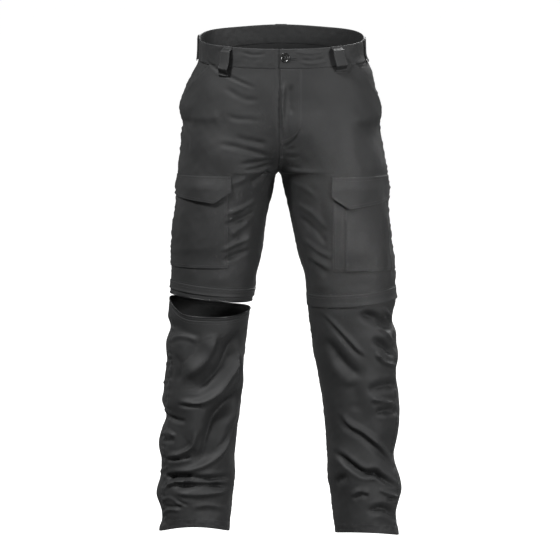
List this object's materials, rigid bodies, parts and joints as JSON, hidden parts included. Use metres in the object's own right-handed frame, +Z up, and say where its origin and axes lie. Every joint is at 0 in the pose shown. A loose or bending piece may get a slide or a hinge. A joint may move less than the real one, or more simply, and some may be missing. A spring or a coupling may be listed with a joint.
{
  "type": "zip off trousers",
  "caption": "Cargo trousers in dark twill with zip off lower legs, shown worn with no wearer; the right lower leg is unzipped and stands just below its shorts leg.",
  "frame": {"origin": "middle of the waist opening, at the height of the band's rim at the side seams", "axes": "+Z up out of the waist, -Y out of the front, +X towards the wearer's left"},
  "size_m": [0.5208, 0.2689, 1.0918],
  "materials": {
    "twill": "dark charcoal cotton blend twill, matt with a slight sheen",
    "zip_tape": "black woven zip tape",
    "button": "black resin with a soft shine"
  },
  "bodies": {
    "root": {"front_right": "twill", "front_left": "twill", "back_right": "twill", "back_left": "twill", "lower_front_right": "twill", "lower_front_left": "twill", "lower_back_right": "twill", "lower_back_left": "twill", "waistband_right": "twill", "waistband_left": "twill", "fly": "twill", "hand_pocket_facing_right": "twill", "hand_pocket_facing_left": "twill", "cargo_pocket_right": "twill", "cargo_pocket_left": "twill", "cargo_flap_right": "twill", "cargo_flap_left": "twill", "zip_cover_right": "twill", "zip_cover_left": "twill", "belt_loop_front_right": "twill", "belt_loop_front_left": "twill", "belt_loop_side_right": "twill", "belt_loop_side_left": "twill", "belt_loop_back": "twill", "zip_tape_upper_right": "zip_tape", "zip_tape_lower_right": "zip_tape", "zip_tape_left": "zip_tape", "waist_button": "button"}
  },
  "joints": []
}
